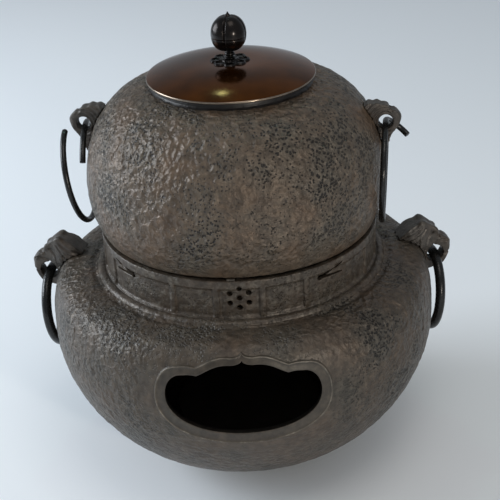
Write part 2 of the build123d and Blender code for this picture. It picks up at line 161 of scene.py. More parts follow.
def within(outline, x, z):
    """Which places on the front lie inside a closed outline."""
    crossed = np.zeros(np.shape(x), bool)
    for (x0, z0), (x1, z1) in zip(outline, np.roll(outline, -1, axis=0)):
        if z0 != z1:
            crossed ^= ((z0 > z) != (z1 > z)) & (x < x0 + (z - z0) * (x1 - x0) / (z1 - z0))
    return crossed


def gap_to(outline, x, z):
    """How far places on the front lie outside a closed outline."""
    gap = np.full(np.shape(x), 1e3)
    for px, pz in outline:
        gap = np.minimum(gap, np.hypot(x - px, z - pz))
    return np.where(within(outline, x, z), 0.0, gap)


def skin(name, rows, across=False, caps=(False, False), hole=None, marks=None):
    """Object whose mesh runs through closed rows of points in millimetres. Across joins the last row to the
    first, caps close the ends, and a hole leaves out what lies in front inside an outline."""
    rows = np.array(rows, float)
    count, width = rows.shape[:2]
    a = np.arange(count - (not across))[:, None]
    b = np.arange(width)[None, :]
    above, beside = (a + 1) % count, (b + 1) % width
    faces = np.stack([a * width + b, a * width + beside, above * width + beside, above * width + b], axis=2)
    faces = faces.reshape(-1, 4)
    points = rows.reshape(-1, 3)
    if hole is not None:
        middle = points[faces].mean(axis=1)
        faces = faces[~((middle[:, 1] < 0) & within(hole, middle[:, 0], middle[:, 2]))]
    faces = faces.tolist()
    if caps[0]:
        faces.append(list(range(width))[::-1])
    if caps[1]:
        faces.append(list(range((count - 1) * width, count * width)))
    mesh = bpy.data.meshes.new(name)
    mesh.from_pydata((points * MM).tolist(), [], faces)
    mesh.shade_smooth()
    for mark, values in (marks or {}).items():
        layer = mesh.attributes.new(mark, "FLOAT", "POINT")
        layer.data.foreach_set("value", np.array(values, np.float32).ravel())
    piece = bpy.data.objects.new(name, mesh)
    scene.collection.objects.link(piece)
    return piece


def window_outline(size, shares):
    """Outline seen from the front, as width and height: a cusp, a low arch each side of it and round lobes."""
    half_width, low, high = size
    cusp, crest, lobe, widest = shares

    def places(points):
        return [np.array((across * half_width, low + up * (high - low))) for across, up in points]

    def through(start, middle, end):
        """Shallow arc through three places."""
        control = 2 * middle - (start + end) / 2
        return bend((start, (start + 2 * control) / 3, (end + 2 * control) / 3, end), 24)

    side = (half_width, low + widest * (high - low))
    side_arc = swell(side, places(lobe)[-1], lobe_fullness)[::-1]
    half = joined(
        stepped(through(*places(cusp)), 8), stepped(bend(places(crest), 24), 26),
        stepped(through(*places(lobe)), 12), stepped(side_arc, 24),
        stepped(swell(side, (0.0, low), sill_fullness), 80))
    return np.concatenate([half, half[::-1][1:-1] * (-1, 1)])


def bowl_roughness(places):
    """How rough the bowl's cast skin is at each place, from 0 to 1."""
    x, y, z = places[..., 0], places[..., 1], places[..., 2]
    patches = 0.85 + 0.5 * noise_over(places, rough_patch)
    gap = gap_to(border_outline, x, z)
    before = 0.3 + 0.7 * eased(gap, *plain_round_window)
    below = np.where(z < border_size[1], 0.55 + 0.45 * eased(np.abs(x), *plain_under_window), 1.0)
    patches = np.where(y < 0, patches * before * below, patches)
    return np.clip(patches, 0, 1)


def lumps(places, rough, depth):
    """Lumps of a cast skin, always into the wall."""
    large = noise_over(places, large_lump, 2)
    small = noise_over(places, small_lump, 1, 31.7)
    return -depth * rough * np.clip(0.5 - 0.45 * large - 0.3 * small, 0, 1.3)


opening_outline = window_outline(window_size, window_shares)
border_outline = window_outline(border_size, border_shares)
hidden_outline = 0.4 * opening_outline + 0.6 * border_outline
bowl_outside = joined(
    spaced(swell(bowl_widest, bowl_base, bowl_fullness)[::-1], bowl_spacing),
    spaced(swell(bowl_widest, bowl_top, shoulder_fullness), bowl_spacing))
bowl_cavity = joined(
    [(radius, bowl_floor[1]) for radius in flat_rings] + [bowl_floor],
    spaced(swell(bowl_inner_widest, bowl_floor, bowl_fullness)[::-1], 6),
    spaced(swell(bowl_inner_widest, bowl_throat, shoulder_fullness), 6))
bowl_turns = even_turns(bowl_columns)
plain_rows = turned(bowl_outside, bowl_turns)
rough_outside = bowl_roughness(plain_rows)
crease = crease_depth * hump(bowl_outside[:, 0] - crease_radius, crease_reach)
crease *= bowl_outside[:, 1] > bowl_widest[1]
skin_push = lumps(plain_rows, rough_outside, bowl_lump_depth) - crease[:, None]
cast_rows = turned(bowl_outside, bowl_turns, skin_push)
under_rows = turned([(radius, bowl_base[1]) for radius in flat_rings], bowl_turns)
cavity_rows = turned(bowl_cavity[::-1], bowl_turns)
bowl_rows = np.concatenate([under_rows, cast_rows, cavity_rows])
smooth_under, smooth_cavity = (np.full(rows.shape[:2], inside_roughness) for rows in (under_rows, cavity_rows))
bowl = skin("brazier_bowl", bowl_rows, caps=(True, True), hole=hidden_outline,
            marks={"rough_skin": np.concatenate([smooth_under, rough_outside, smooth_cavity])})


def colour(code):
    """Linear colour from an sRGB hex code."""
    parts = [int(code[place:place + 2], 16) / 255 for place in (1, 3, 5)]
    return tuple(p / 12.92 if p <= 0.04045 else ((p + 0.055) / 1.055) ** 2.4 for p in parts) + (1.0,)


def per_mm(size):
    """Texture scale of a pattern whose repeat is a size in millimetres."""
    return 1 / (size * MM)


def add_node(tree, kind, settings=None, links=None):
    """Adds a node, sets its properties and input sockets, and links outputs of other nodes to its inputs."""
    node = tree.nodes.new(kind)
    for name, value in (settings or {}).items():
        if isinstance(name, str) and hasattr(node, name):
            setattr(node, name, value)
        else:
            node.inputs[name].default_value = value
    for name, source in (links or {}).items():
        tree.links.new(source, node.inputs[name])
    return node


def spots(tree, place, size, detail, roughness=0.5):
    """Cloudy pattern from 0 to 1 with spots of about a size in millimetres."""
    return add_node(tree, "ShaderNodeTexNoise",
                    {"Scale": per_mm(size), "Detail": detail, "Roughness": roughness},
                    {"Vector": place}).outputs["Fac"]


def mapped(tree, value, low, high, new_low=0.0, new_high=1.0):
    """Pattern whose values from low to high are spread from a new low to a new high."""
    return add_node(tree, "ShaderNodeMapRange",
                    {"From Min": low, "From Max": high, "To Min": new_low, "To Max": new_high},
                    {"Value": value}).outputs[0]


def mixed(tree, share, first, second):
    """Colour that goes from a first to a second hex code with a pattern."""
    return add_node(tree, "ShaderNodeMix", {"data_type": "RGBA", 6: colour(first), 7: colour(second)},
                    {0: share}).outputs[2]


def new_material(name):
    """New material with its tree of nodes, its shader and the place on the object that patterns start from."""
    material = bpy.data.materials.new(name)
    material.use_nodes = True
    tree = material.node_tree
    return material, tree, tree.nodes["Principled BSDF"], add_node(tree, "ShaderNodeTexCoord").outputs["Object"]


def plug(tree, shader, metal, **patterns):
    """Sets the shader's share of metal and its other inputs, each to a number or to a pattern."""
    shader.inputs["Metallic"].default_value = metal
    for name, pattern in patterns.items():
        socket = shader.inputs[name.replace("_", " ")]
        if isinstance(pattern, float):
            socket.default_value = pattern
        else:
            tree.links.new(pattern, socket)


def bumped(tree, height, depth):
    """Normal of a surface with bumps of a depth in millimetres."""
    return add_node(tree, "ShaderNodeBump", {"Distance": depth * MM}, {"Height": height}).outputs[0]


def cast_iron(name, brown, grey, pit_colour, relief, rough=None, rub_and_glint=0.0):
    """Cast iron under its brown lacquer-and-rust skin: matte, with leathery lumps, creases between them and pits
    in drifts. Real lumps are 3 to 4 mm and pits 1 mm; they are drawn at 5 to 6 mm and 2.6 mm, as finer ones would
    not show. The colour drifts between warm brown and grey over some 40 mm; it is painted lighter on the lumps'
    tops and darker in the hollows between them, a painted highlight and painted shade. Where asked, pale grey
    spots are painted in, partly as rubbed bare iron and partly as painted glints."""
    material, tree, shader, place = new_material(name)
    if rough is None:
        rough_share = add_node(tree, "ShaderNodeAttribute", {"attribute_name": "rough_skin"}).outputs["Fac"]
    else:
        rough_share = add_node(tree, "ShaderNodeValue").outputs[0]
        rough_share.default_value = rough

    swirl = add_node(tree, "ShaderNodeTexNoise", {"Scale": per_mm(9), "Detail": 1.0}, {"Vector": place})
    bent = add_node(tree, "ShaderNodeVectorMath", {"operation": "MULTIPLY_ADD", 1: (4.5 * MM,) * 3},
                    {0: swirl.outputs["Color"], 2: place}).outputs[0]
    lump_map = spots(tree, bent, 6.5, 3.0, 0.6)
    cells = add_node(tree, "ShaderNodeTexVoronoi",
                     {"feature": "SMOOTH_F1", "Scale": per_mm(4.6), "Smoothness": 0.3},
                     {"Vector": bent}).outputs["Distance"]
    drifts = spots(tree, place, 38, 2.0)
    pit_cells = add_node(tree, "ShaderNodeTexVoronoi", {"Scale": per_mm(2.6)}, {"Vector": bent})
    pit_size = mapped(tree, drifts, 0.4, 0.62, 0.12, 0.5)
    pit_floor = add_node(tree, "ShaderNodeMath", {"operation": "MULTIPLY", 1: 0.55}, {0: pit_size}).outputs[0]
    pit = add_node(
        tree, "ShaderNodeMapRange", {"interpolation_type": "SMOOTHSTEP", "To Min": 1.0, "To Max": 0.0},
        {"Value": pit_cells.outputs["Distance"], "From Min": pit_floor, "From Max": pit_size}).outputs[0]
    grain = spots(tree, place, 0.9, 2.0)

    lumped = add_node(tree, "ShaderNodeMath", {"operation": "MULTIPLY_ADD", 1: 1.7},
                      {0: lump_map, 2: cells}).outputs[0]
    pitted = add_node(tree, "ShaderNodeMath", {"operation": "MULTIPLY_ADD", 1: -0.9},
                      {0: pit, 2: lumped}).outputs[0]
    rough_height = add_node(tree, "ShaderNodeMath", {"operation": "MULTIPLY"},
                            {0: pitted, 1: rough_share}).outputs[0]
    height = add_node(tree, "ShaderNodeMath", {"operation": "MULTIPLY_ADD", 1: 0.12},
                      {0: grain, 2: rough_height}).outputs[0]

    tall = add_node(tree, "ShaderNodeMapping", {"Scale": (1.0, 1.0, 0.06)}, {"Vector": place}).outputs[0]
    streak_share = mapped(tree, spots(tree, tall, 7, 3.0), 0.3, 0.7, 0.82, 1.16)
    base = mixed(tree, mapped(tree, drifts, 0.36, 0.64), brown, grey)
    streaked = add_node(tree, "ShaderNodeVectorMath", {"operation": "SCALE"},
                        {0: base, "Scale": streak_share}).outputs[0]
    # Painted highlight and shade: the colour is lighter on the lumps' tops and darker in the hollows between them.
    lump_light_and_shade = mapped(tree, lump_map, 0.4, 0.66, 0.72, 1.2)
    lump_lit_and_shaded = add_node(tree, "ShaderNodeVectorMath", {"operation": "SCALE"},
                      {0: streaked, "Scale": lump_light_and_shade}).outputs[0]
    pit_tint = add_node(tree, "ShaderNodeMath", {"operation": "MULTIPLY"}, {0: pit, 1: rough_share}).outputs[0]
    skin_colour = add_node(tree, "ShaderNodeMix", {"data_type": "RGBA", 7: colour(pit_colour)},
                           {0: pit_tint, 6: lump_lit_and_shaded}).outputs[2]
    # Painted highlight: pale grey spots that stand in for glints, and in part for rubbed bare iron.
    if rub_and_glint:
        rub_and_glint_share = mapped(tree, spots(tree, bent, 6, 4.0, 0.7), 0.5, 0.68, 0.0, rub_and_glint)
        skin_colour = add_node(tree, "ShaderNodeMix", {"data_type": "RGBA", 7: colour("#a39c8e")},
                               {0: rub_and_glint_share, 6: skin_colour}).outputs[2]
    plug(tree, shader, 0.25, Base_Color=skin_colour, Roughness=mapped(tree, grain, 0.3, 0.7, 0.32, 0.52),
         Normal=bumped(tree, height, relief))
    return material


def finish(piece, body, material, node):
    """Gives a piece its material, hides the CAD node it replaces and hangs the piece on its body."""
    piece.data.materials.append(material)
    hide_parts(node)
    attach(piece, body)


bowl_iron = cast_iron("cast_iron_brown_skin", "#4f4337", "#4a443b", "#1a140f", 1.7)
finish(bowl, "brazier", bowl_iron, "brazier_body")

# Window border: a flat raised iron frame, cast with the bowl and left smooth, with a fine bead along its outer
# edge that is painted paler as a painted highlight. It has a cusp at the top middle. Its inner edge turns through
# the wall and is painted near black, partly soot and partly painted shade.
frame_steps = (0.0, 0.02, 0.05, 0.09, 0.13, 0.17, 0.22, 0.4, 0.55, 0.7, 0.82, 0.9, 0.96, 1.0)
frame_heights = (-0.8, 0.4, 1.2, 1.65, 1.5, 1.1, 0.7, 0.5, 0.4, 0.35, 0.35, 0.35, 0.2, -0.2)
bead_first, bead_last = 2, 5
reveal_steps, reveal_sink, reveal_spread = (0.3, 0.65, 1.0), -0.5, 0.75


def on_front(line, outline, out):
    """Places in front on a turned surface, raised outward by a height."""
    order = np.argsort(line[:, 1])
    radius = np.interp(outline[:, 1], line[order, 1], line[order, 0]) + out
    return np.stack([outline[:, 0], -np.sqrt(radius ** 2 - outline[:, 0] ** 2), outline[:, 1]], axis=1)


border_rows = [on_front(bowl_outside, border_outline * (1 - share) + opening_outline * share, height)
               for share, height in zip(frame_steps, frame_heights)]
front_edge = border_rows[-1]
back_edge = on_front(bowl_cavity, opening_outline, reveal_sink)
reveal_rows = [front_edge] + [front_edge * (1 - share) + back_edge * share for share in reveal_steps]
spread_outline = (1 - reveal_spread) * opening_outline + reveal_spread * border_outline
reveal_rows.append(on_front(bowl_cavity, spread_outline, reveal_sink))
border_foot = skin("window_border_foot", border_rows[:bead_first + 1])
border = skin("window_border", border_rows[bead_last:])
border_bead = skin("window_border_bead", border_rows[bead_first:bead_last + 1])
reveal = skin("window_reveal", reveal_rows)
# Smooth iron has a low satin sheen. The bead's lighter colour and pale spots are a painted highlight, and the
# reveal's near black is partly soot and partly painted shade.
smooth_iron = cast_iron("smooth_cast_iron", "#453c32", "#474138", "#1c1713", 0.6, rough=0.08)
bead_highlight_iron = cast_iron("cast_iron_painted_bead_highlight", "#564e43", "#696155", "#2a241e", 0.5, rough=0.05, rub_and_glint=0.5)
sooted_and_shaded_iron = cast_iron("sooted_and_shaded_cast_iron", "#14110e", "#1a1612", "#0c0a08", 0.8, rough=0.3)
for piece, iron in ((border_foot, smooth_iron), (border, smooth_iron), (border_bead, bead_highlight_iron),
                    (reveal, sooted_and_shaded_iron)):
    finish(piece, "brazier", iron, "brazier_body")

# Brazier neck: the upright iron band that the kettle hangs in, cast with the bowl. A rounded bead marks its foot
# and a plain lip its rim; between them are shallow panels, pierced with seven-hole blossoms and pairs of needles.
neck_radius, neck_inner = 119.2, 113.8
bead_radius, bead_ring, bead_z, bead_arc = 4.6, 122.2, 184.6, (-40, 128)
panel_low, panel_high, rim_z = 189.2, 215.4, 222.4
panel_recess, panel_rib = 1.4, 4.0
quarter_panels = (18.0, 18.0, 36.0, 18.0)
# Reaches say from where to where, out from the axis, a vent is cut.
blossom_z, blossom_ring, hole_radius, hole_reach = 206.6, 8.7, 2.3, (108, 124)
needle_z, needle_length, needle_root, needle_tip, needle_eye = 211.1, 24.0, 2.8, 1.2, 2.6
needle_start, needle_point, needle_spreads, needle_reach = 1.0, 0.8, (-6.0, 16.0), (107, 125)
needle_places = ((33.5, 1), (-47.5, -1), (213.5, 1), (132.5, -1))
edge_steps, edge_reach = np.array((0.0, 0.35, 0.7, 1.05)), 1.1
bead_wear, band_wear, neck_lump_depth = 0.75, 0.25, 0.5

neck_turns, panel_gaps = [], []
panel_start = -90 - quarter_panels[0] / 2
for panel in 4 * quarter_panels:
    width = radians(panel) * neck_radius - panel_rib
    inner_steps = spaced([(edge_steps[-1], 0), (width - edge_steps[-1], 0)], 1.5)[1:-1, 0]
    steps = np.concatenate([edge_steps, inner_steps, width - edge_steps[::-1]])
    neck_turns += [radians(panel_start)] + list(radians(panel_start) + (steps + panel_rib / 2) / neck_radius)
    panel_gaps += [0.0] + list(np.minimum(steps, width - steps))
    panel_start += panel
bead_turns = np.radians(np.linspace(*bead_arc, 22))
bead_line = np.stack([bead_ring + bead_radius * np.cos(bead_turns),
                      bead_z + bead_radius * np.sin(bead_turns)], axis=1)
band_heights = np.concatenate([
    panel_low + edge_steps,
    spaced([(panel_low + edge_steps[-1], 0), (panel_high - edge_steps[-1], 0)], 1.6)[1:-1, 0],
    (panel_high - edge_steps)[::-1]])
lip_line = [(neck_radius, 216.2), (neck_radius, 218.5), (neck_radius, 221.0), (119.1, 221.9), (118.7, 222.3),
            (118.2, rim_z), (116.5, rim_z), (114.8, rim_z), (114.2, 222.2), (neck_inner, 221.5),
            (neck_inner, 212.0), (neck_inner, 200.0), (neck_inner, 188.0), (neck_inner, 181.0)]
neck_line = np.concatenate([bead_line, [(neck_radius, 188.8)], [(neck_radius, z) for z in band_heights], lip_line])
band_gap = np.clip(np.minimum(neck_line[:, 1] - panel_low, panel_high - neck_line[:, 1]), 0, None)
band_gap[neck_line[:, 0] < neck_radius - 1] = 0
recess = -panel_recess * eased(band_gap, 0, edge_reach)[:, None] * eased(np.array(panel_gaps), 0, edge_reach)
plain_neck = turned(neck_line, neck_turns)
neck_wear = np.where(np.arange(len(neck_line)) < len(bead_line) + 2, bead_wear, band_wear)
worn_lumps = lumps(plain_neck, neck_wear[:, None], neck_lump_depth)
neck = skin("brazier_neck", turned(neck_line, neck_turns, recess + worn_lumps), across=True)


def carve(piece, cutter):
    """Cuts one mesh from another for good."""
    cut = piece.modifiers.new("vents", "BOOLEAN")
    cut.object, cut.solver, cut.use_self = cutter, "EXACT", True
    carved = piece.evaluated_get(bpy.context.evaluated_depsgraph_get())
    mesh = bpy.data.meshes.new_from_object(carved)
    piece.modifiers.clear()
    piece.data = mesh
    bpy.data.objects.remove(cutter)


def prism(form, outline, turn, height, near, far):
    """Adds a straight bar to a mesh in the making: an outline on the neck's face, drawn out from near to far."""
    out, right = Vector((sin(turn), -cos(turn), 0)), Vector((cos(turn), sin(turn), 0))
    ends = [[form.verts.new((out * depth + right * x + Vector((0, 0, height + z))) * MM) for x, z in outline]
            for depth in (near, far)]
    count = len(outline)
    for k in range(count):
        form.faces.new((ends[0][k], ends[0][(k + 1) % count], ends[1][(k + 1) % count], ends[1][k]))
    form.faces.new(ends[0][::-1])
    form.faces.new(ends[1])


def ring_outline(x, z, radius):
    """Outline of a round hole on the neck's face."""
    return [(x + radius * cos(a), z + radius * sin(a)) for a in even_turns(18)]


vents = bmesh.new()
for turn in (0, 90, 180, 270):
    petals = [(blossom_ring * cos(a + pi / 6), blossom_ring * sin(a + pi / 6)) for a in even_turns(6)]
    for x, z in [(0.0, 0.0)] + petals:
        prism(vents, ring_outline(x, z, hole_radius), radians(turn), blossom_z, *hole_reach)
for turn, way in needle_places:
    prism(vents, ring_outline(0, 0, needle_eye), radians(turn), needle_z, *hole_reach)
    for spread in needle_spreads:
        along = Vector((cos(radians(spread)), sin(radians(spread))))
        aside = Vector((-along.y, along.x))
        needle = [along * needle_start - aside * needle_root / 2, along * needle_length - aside * needle_tip / 2,
                  along * (needle_length + needle_point), along * needle_length + aside * needle_tip / 2,
                  along * needle_start + aside * needle_root / 2]
        outline = [(way * x, z) for x, z in needle][::way]
        prism(vents, outline, radians(turn), needle_z, *needle_reach)
vent_mesh = bpy.data.meshes.new("vents")
bmesh.ops.recalc_face_normals(vents, faces=vents.faces)
vents.to_mesh(vent_mesh)
vents.free()
vent_cutter = bpy.data.objects.new("vents", vent_mesh)
scene.collection.objects.link(vent_cutter)
carve(neck, vent_cutter)
# Worn iron shows the same brown skin, with pale grey spots that are partly rubbed bare iron and partly painted
# glints.
worn_and_glint_iron = cast_iron("worn_cast_iron_with_painted_glints", "#463b30", "#484036", "#1a1511", 1.1, rough=0.4, rub_and_glint=0.2)
finish(neck, "brazier", worn_and_glint_iron, "brazier_body")

# Nubs: three low iron blocks, cast on the neck's rim and softly rounded. The kettle's ledge sits on them, and the
# draught gets out between them.
nub_size, nub_round, nub_ring, nub_turn = (4.0, 6.5, 1.8), 0.5, 116.5, -93
nubs = bmesh.new()
for index in range(3):
    turn = radians(nub_turn + 120 * index)
    block = bmesh.ops.create_cube(nubs, size=MM)["verts"]
    middle = Vector((cos(turn) * nub_ring, sin(turn) * nub_ring, rim_z + nub_size[2] / 2)) * MM
    shape = Matrix.Translation(middle) @ Matrix.Rotation(turn, 4, "Z") @ Matrix.Diagonal((*nub_size, 1))
    bmesh.ops.transform(nubs, matrix=shape, verts=block)
bmesh.ops.bevel(nubs, geom=nubs.edges[:], offset=nub_round * MM, segments=3, profile=0.6, affect="EDGES")
nub_mesh = bpy.data.meshes.new("rim_nubs")
nubs.to_mesh(nub_mesh)
nubs.free()
nub_mesh.shade_smooth()
nub_piece = bpy.data.objects.new("rim_nubs", nub_mesh)
scene.collection.objects.link(nub_piece)
finish(nub_piece, "brazier", smooth_iron, "brazier_body")

# Brazier feet: three short waisted feet under the bowl, cast apart in the same iron and left smooth. A peg on each
# goes up through the bowl's floor.


def dress(node, material):
    """Gives its material to a CAD piece that is shown as it is."""
    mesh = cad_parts[node].data
    mesh.materials.clear()
    mesh.materials.append(material)


for node in ("brazier_foot_front", "brazier_foot_rear_right", "brazier_foot_rear_left"):
    dress(node, smooth_iron)

# Floor tile: a round tile of smoked fired clay on the bowl's floor, under the ash bed, so that the heat stays off
# the board below. Fired clay is matte and slightly sandy, with darker patches where the smoke reached it.
clay, tree, shader, place = new_material("smoked_fired_clay")
plug(tree, shader, 0.0, Base_Color=mixed(tree, spots(tree, place, 30, 3.0), "#332e29", "#5a4f45"),
     Roughness=0.92, Normal=bumped(tree, spots(tree, place, 0.8, 2.0), 0.25))
dress("floor_tile", clay)

# Brazier lugs: a beast's head at each side, cast apart with a peg at its root, its mane combed back to the neck
# and its open jaw holding the ring. Only a general beast: brow, round eyes, short snout, cheeks and a mane.
brazier_hinge, lug_set_back = (176.0, 165.0), 8.0
head_voxel, head_softness = 0.6, 6
mane_back, mane_foot, mane_comb = (-17, -11), (-8, 2), (-0.57, 0.82)
strand_width, strand_depth = 4.4, 0.5
relief_limit, plain_jaw = 1.9, (11, 14)
# Marks of the head: their middles outward, sideways and up, how far they reach and how much they rise.
head_marks = (
    (1, 5.5, 25.5, 5.5, 1.6), (-13, 6.5, 33, 6.0, 1.5), (4.5, 6.5, 19, 4.2, -2.0), (4.8, 6.8, 18.6, 2.3, 2.1),
    (8.0, 0, 19, 4.0, -1.2), (12.5, 4.2, 8.5, 2.4, -1.3), (-9, 11, 13, 7.0, 1.3), (-4, 0, 33, 4.5, -1.2),
    (10, 7.0, 12.5, 3.2, 0.8), (3, 9.5, 10.5, 3.5, -1.0))
# Creases of the head: three places outward and up that each runs through, its width and its rise.
head_creases = (
    ((11, 14.5), (4, 14.5), (-2, 9.5), 1.4, -1.3), ((-3, 23), (-8, 17), (-10, 7), 1.5, -1.2),
    ((-10, 28), (-16, 20), (-17, 9), 1.6, -1.1), ((13, 2.5), (10, 0.5), (7.5, 1.5), 1.2, -0.9))


def line_gap(u, w, points):
    """Distance in side view from a line through three places."""
    gap = np.full(u.shape, 1e3)
    for pu, pw in stepped(points, 14):
        gap = np.minimum(gap, np.hypot(u - pu, w - pw))
    return gap


def head_relief(u, v, w):
    """Push out of the surface of a head; u runs outward, v sideways and w up from the ring's hinge."""
    push = sum(amount * hump(np.sqrt((u - mu) ** 2 + (v - mv) ** 2 + (w - mw) ** 2), reach)
               for mu, mv, mw, reach, amount in head_marks)
    for a, b, c, width, amount in head_creases:
        push = push + amount * hump(line_gap(u, w, (a, b, c)), width) * eased(v, 3, 6)
    mane = (1 - eased(u, *mane_back)) * eased(w, *mane_foot)
    strands = np.cos(2 * pi * (mane_comb[1] * w + mane_comb[0] * u + 0.9 * np.sin(u / 4)) / strand_width)
    limit = relief_limit * (1 - eased(u, *plain_jaw)) - 0.05
    return np.minimum(push + mane * (strand_depth * strands - 0.15), limit)


def sculpted(name, node, turn, hinge, voxel, relief, softness):
    """Piece with the form of a CAD node, remeshed finely and worked into relief round its hinge."""
    source = bpy.data.objects.new(name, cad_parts[node].data.copy())
    scene.collection.objects.link(source)
    source.data.materials.clear()
    remesh = source.modifiers.new("fine", "REMESH")
    remesh.mode, remesh.voxel_size = "VOXEL", voxel * MM
    smooth = source.modifiers.new("soft", "SMOOTH")
    smooth.factor, smooth.iterations = 0.5, softness
    mesh = bpy.data.meshes.new_from_object(source.evaluated_get(bpy.context.evaluated_depsgraph_get()))
    source.modifiers.clear()
    source.data = mesh
    places = np.array([point.co for point in mesh.vertices]) / MM
    normals = np.array([normal.vector for normal in mesh.vertex_normals])
    u = places[:, 0] * cos(turn) + places[:, 1] * sin(turn) - hinge[0]
    v = np.abs(-places[:, 0] * sin(turn) + places[:, 1] * cos(turn))
    w = places[:, 2] - hinge[1]
    places += normals * relief(u, v, w)[:, None]
    mesh.vertices.foreach_set("co", (places * MM).ravel())
    mesh.shade_smooth()
    return source


# The lugs' iron is darker and greyer than the bowl's and only lightly grained, so that the carving reads.
lug_iron = cast_iron("dark_cast_iron", "#453c34", "#4d4842", "#1c1713", 0.6, rough=0.3)
for side, turn in (("right", radians(lug_set_back)), ("left", radians(180 - lug_set_back))):
    node = "brazier_lug_" + side
    head = sculpted("beast_head_" + side, node, turn, brazier_hinge, head_voxel, head_relief, head_softness)
    finish(head, "brazier", lug_iron, node)

# Brazier rings: closed rings of 9 mm round iron, forged and lacquered black, that hang through the jaws. The
# hammer leaves the bar very slightly uneven, and the lacquer is glossy where hands take hold.
brazier_ring_radius, brazier_wire, brazier_ring_lean = 35.5, 4.4, -5.0
wire_mean, wire_swing, hammer_step, end_width, end_bevel = 0.985, 0.015, 16, 0.88, 0.12


def hung_ring(radius, angles):
    """Arc of a ring that hangs from the origin across X, by degrees from its top toward -Y."""
    return [(0.0, -radius * sin(radians(a)), -radius + radius * cos(radians(a))) for a in angles]


def bar(name, path, wire, closed, sides=28):
    """Round bar along a path in millimetres, with square-cut ends where it isn't closed."""
    path = np.array(path, float)
    ahead = np.roll(path, -1, axis=0) - np.roll(path, 1, axis=0)
    if not closed:
        ahead[0], ahead[-1] = path[1] - path[0], path[-1] - path[-2]
    rows, reference = [], Vector((1, 0, 0))
    thickness = wire * (wire_mean + wire_swing * noise_over(path, hammer_step))
    for place, way, radius in zip(path, ahead, thickness):
        way = Vector(way).normalized()
        reference = (reference - way * reference.dot(way)).normalized()
        beside = way.cross(reference)
        rows.append([Vector(place) + (reference * cos(a) + beside * sin(a)) * radius for a in even_turns(sides)])
    if not closed:
        for end, way in ((0, Vector(ahead[0]).normalized()), (-1, -Vector(ahead[-1]).normalized())):
            middle = Vector(path[end])
            cut = [middle + (Vector(p) - middle) * end_width for p in rows[end]]
            bevel = [p + way * wire * end_bevel for p in rows[end]]
            rows[end] = bevel
            rows.insert(0 if end == 0 else len(rows), cut)
    return skin(name, rows, across=closed, caps=(not closed, not closed))


def hang(points, hinge, turn, yaw, lean):
    """Places of a ring that is hung at its hinge, turned about the upright and leaned."""
    pose = (Matrix.Rotation(radians(turn), 4, "Z") @ Matrix.Translation((hinge[0], 0, hinge[1]))
            @ Matrix.Rotation(radians(yaw), 4, "Z") @ Matrix.Rotation(radians(-lean), 4, "Y"))
    return [pose @ Vector(p) for p in points]


black_iron, tree, shader, place = new_material("black_lacquered_forged_iron")
hammered = spots(tree, place, 5, 2.0)
plug(tree, shader, 0.3, Base_Color=mixed(tree, hammered, "#0f1112", "#1d1c1a"),
     Roughness=mapped(tree, spots(tree, place, 1.2, 3.0), 0.3, 0.7, 0.18, 0.34),
     Normal=bumped(tree, hammered, 0.25))
for side, turn in (("right", lug_set_back), ("left", 180 - lug_set_back)):
    path = hang(hung_ring(brazier_ring_radius, np.arange(0, 360, 2.5)), brazier_hinge, turn,
                0, brazier_ring_lean)
    ring = bar("brazier_ring_" + side + "_bar", path, brazier_wire, True)
    finish(ring, side + "_brazier_ring", black_iron, "brazier_ring_" + side)

# Kettle: one iron casting 4 mm thick, cut back below its ledge so that it hangs in the brazier's neck. The skin
# is dabbed like the bowl's, coarse on the shoulder and smoother toward the ledge. The collar is left plain, and
# it and the inside are painted near black: partly dark iron, partly painted shade under the lid's edge.
kettle_widest, kettle_crown = (127.5, 263.0), (62.0, 346.2)
kettle_ledge, kettle_lower, kettle_base = (117.0, 224.2), (108.5, 224.2), (52.0, 150.2)
kettle_inner_widest, kettle_inner_crown = (123.5, 263.0), (62.0, 342.2)
kettle_inner_ledge, kettle_inner_lower, kettle_floor = (113.0, 228.2), (104.5, 228.2), (52.0, 154.2)
kettle_fullness, kettle_lower_fullness = 0.61, 0.7
collar_inner, collar_outer, collar_z = 60.0, 65.5, 351.3
kettle_spacing, kettle_columns, kettle_lump_depth = 1.6, 500, 1.3
kettle_patch, smooth_below, lower_roughness = 50, (226, 262), 0.25
ledge_edge, kettle_flat = 115.5, 48.0


def skirt(widest, ledge):
    """Arc that leaves the widest ring upright and ends at the ledge."""
    drop, tuck = widest[1] - ledge[1], widest[0] - ledge[0]
    radius = (drop ** 2 + tuck ** 2) / (2 * tuck)
    turns = np.linspace(-asin(drop / radius), 0, 30)
    return np.stack([widest[0] - radius + radius * np.cos(turns), widest[1] + radius * np.sin(turns)], axis=1)


skirt_line = skirt(kettle_widest, kettle_ledge)
shoulder_line = swell(kettle_widest, kettle_crown, kettle_fullness)
shoulder_line = shoulder_line[shoulder_line[:, 0] > collar_outer + 0.6]
kettle_lower_line = joined(
    [(kettle_flat, kettle_base[1]), (50.5, kettle_base[1]), kettle_base],
    spaced(swell(kettle_lower, kettle_base, kettle_lower_fullness)[::-1], 4),
    [kettle_lower, (110.5, kettle_ledge[1]), (ledge_edge, kettle_ledge[1])])
kettle_skin_line = joined(
    [(ledge_edge, kettle_ledge[1]), (116.6, 224.4), tuple(skirt_line[1])],
    spaced(skirt_line[1:], kettle_spacing), spaced(shoulder_line, kettle_spacing))
collar_line = [(65.6, 346.6), (collar_outer, 347.4), (collar_outer, 350.6), (65.2, 351.1), (64.6, collar_z),
               (61.0, collar_z), (60.3, 351.0), (collar_inner, 350.4), (collar_inner, 342.6), (60.6, 342.2)]
